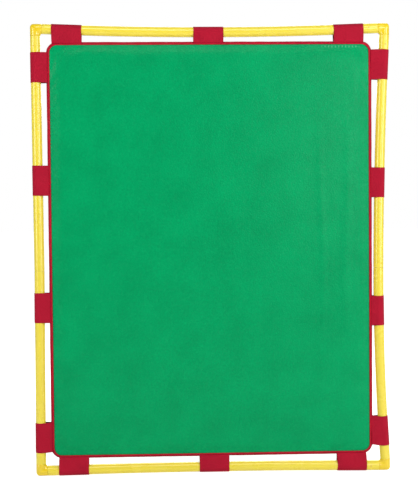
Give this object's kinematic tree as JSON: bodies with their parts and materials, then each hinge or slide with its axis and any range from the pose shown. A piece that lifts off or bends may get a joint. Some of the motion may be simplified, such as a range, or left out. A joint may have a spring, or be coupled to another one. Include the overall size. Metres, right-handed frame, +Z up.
{
  "type": "padded divider panel",
  "caption": "Rectangular padded vinyl panel with piped edge, held by fabric wrap straps inside a round plastic pipe frame with corner elbows.",
  "frame": {"origin": "on the floor under the middle of the frame, at the bottom centre of its box", "axes": "+Z up the height of the panel, +Y out of the back, the front faces -Y, +X to the right seen from the front"},
  "size_m": [1.2001, 0.036, 1.5117],
  "materials": {
    "pipe_plastic": "satin",
    "elbow_plastic": "gloss",
    "inner_plastic": "matte",
    "rivet_plastic": "satin",
    "cover_vinyl": "satin",
    "foam": "matte",
    "band_vinyl": "satin",
    "piping_vinyl": "satin",
    "strap_fabric": "matte",
    "hook_tape": "matte",
    "loop_pile": "matte"
  },
  "bodies": {
    "root": {"elbow_top_left": "elbow_plastic", "elbow_top_right": "elbow_plastic", "elbow_bottom_right": "elbow_plastic", "elbow_bottom_left": "elbow_plastic", "top_rail": "pipe_plastic", "bottom_rail": "pipe_plastic", "left_rail_upper": "pipe_plastic", "left_rail_lower": "pipe_plastic", "right_rail_upper": "pipe_plastic", "right_rail_lower": "pipe_plastic", "rail_couplings": "inner_plastic", "spigot_rivets": "rivet_plastic", "front_cover": "cover_vinyl", "back_cover": "cover_vinyl", "foam_core": "foam", "edge_band": "band_vinyl", "edge_piping": "piping_vinyl", "loop_patches": "loop_pile", "strap_top_left": "strap_fabric", "strap_top_middle": "strap_fabric", "strap_top_right": "strap_fabric", "strap_bottom_left": "strap_fabric", "strap_bottom_middle": "strap_fabric", "strap_bottom_right": "strap_fabric", "strap_left_upper": "strap_fabric", "strap_left_mid_upper": "strap_fabric", "strap_left_mid_lower": "strap_fabric", "strap_left_lower": "strap_fabric", "strap_right_upper": "strap_fabric", "strap_right_mid_upper": "strap_fabric", "strap_right_mid_lower": "strap_fabric", "strap_right_lower": "strap_fabric"},
    "flap_top_left": {"tail_top_left": "strap_fabric", "hook_top_left": "hook_tape"},
    "flap_top_middle": {"tail_top_middle": "strap_fabric", "hook_top_middle": "hook_tape"},
    "flap_top_right": {"tail_top_right": "strap_fabric", "hook_top_right": "hook_tape"},
    "flap_bottom_left": {"tail_bottom_left": "strap_fabric", "hook_bottom_left": "hook_tape"},
    "flap_bottom_middle": {"tail_bottom_middle": "strap_fabric", "hook_bottom_middle": "hook_tape"},
    "flap_bottom_right": {"tail_bottom_right": "strap_fabric", "hook_bottom_right": "hook_tape"},
    "flap_left_upper": {"tail_left_upper": "strap_fabric", "hook_left_upper": "hook_tape"},
    "flap_left_mid_upper": {"tail_left_mid_upper": "strap_fabric", "hook_left_mid_upper": "hook_tape"},
    "flap_left_mid_lower": {"tail_left_mid_lower": "strap_fabric", "hook_left_mid_lower": "hook_tape"},
    "flap_left_lower": {"tail_left_lower": "strap_fabric", "hook_left_lower": "hook_tape"},
    "flap_right_upper": {"tail_right_upper": "strap_fabric", "hook_right_upper": "hook_tape"},
    "flap_right_mid_upper": {"tail_right_mid_upper": "strap_fabric", "hook_right_mid_upper": "hook_tape"},
    "flap_right_mid_lower": {"tail_right_mid_lower": "strap_fabric", "hook_right_mid_lower": "hook_tape"},
    "flap_right_lower": {"tail_right_lower": "strap_fabric", "hook_right_lower": "hook_tape"}
  },
  "joints": [
    {"name": "peel_top_left", "type": "hinge", "parent": "root", "child": "flap_top_left", "pos_m": [-0.47907, 0.01735, 1.48926], "axis": [0.9993, 0, -0.0367], "range_deg": [0, 135]},
    {"name": "peel_top_middle", "type": "hinge", "parent": "root", "child": "flap_top_middle", "pos_m": [-0.008, 0.0173, 1.48], "axis": [1, 0, -0.0006], "range_deg": [0, 135]},
    {"name": "peel_top_right", "type": "hinge", "parent": "root", "child": "flap_top_right", "pos_m": [0.46107, 0.01735, 1.48858], "axis": [0.9994, 0, 0.0353], "range_deg": [0, 135]},
    {"name": "peel_bottom_left", "type": "hinge", "parent": "root", "child": "flap_bottom_left", "pos_m": [-0.47203, 0.01735, 0.01992], "axis": [-0.9999, 0, -0.0145], "range_deg": [0, 135]},
    {"name": "peel_bottom_middle", "type": "hinge", "parent": "root", "child": "flap_bottom_middle", "pos_m": [0.001, 0.01733, 0.0235], "axis": [-1, 0, 0], "range_deg": [0, 135]},
    {"name": "peel_bottom_right", "type": "hinge", "parent": "root", "child": "flap_bottom_right", "pos_m": [0.46803, 0.01735, 0.01998], "axis": [-0.9999, 0, 0.0143], "range_deg": [0, 135]},
    {"name": "peel_left_upper", "type": "hinge", "parent": "root", "child": "flap_left_upper", "pos_m": [-0.58024, 0.01733, 1.36651], "axis": [-0.0045, 0, 1], "range_deg": [0, 135]},
    {"name": "peel_left_mid_upper", "type": "hinge", "parent": "root", "child": "flap_left_mid_upper", "pos_m": [-0.57847, 0.01731, 0.99151], "axis": [-0.0045, 0, 1], "range_deg": [0, 135]},
    {"name": "peel_left_mid_lower", "type": "hinge", "parent": "root", "child": "flap_left_mid_lower", "pos_m": [-0.57774, 0.01731, 0.56649], "axis": [0.0054, 0, 1], "range_deg": [0, 135]},
    {"name": "peel_left_lower", "type": "hinge", "parent": "root", "child": "flap_left_lower", "pos_m": [-0.58023, 0.01733, 0.12949], "axis": [0.0054, 0, 1], "range_deg": [0, 135]},
    {"name": "peel_right_upper", "type": "hinge", "parent": "root", "child": "flap_right_upper", "pos_m": [0.57624, 0.01735, 1.37258], "axis": [-0.0443, 0, -0.999], "range_deg": [0, 135]},
    {"name": "peel_right_mid_upper", "type": "hinge", "parent": "root", "child": "flap_right_mid_upper", "pos_m": [0.56241, 0.01723, 0.97756], "axis": [-0.0212, 0, -0.9998], "range_deg": [0, 135]},
    {"name": "peel_right_mid_lower", "type": "hinge", "parent": "root", "child": "flap_right_mid_lower", "pos_m": [0.55893, 0.01717, 0.54546], "axis": [0.0121, 0, -0.9999], "range_deg": [0, 135]},
    {"name": "peel_right_lower", "type": "hinge", "parent": "root", "child": "flap_right_lower", "pos_m": [0.57461, 0.01734, 0.13639], "axis": [0.0588, 0, -0.9983], "range_deg": [0, 135]}
  ]
}
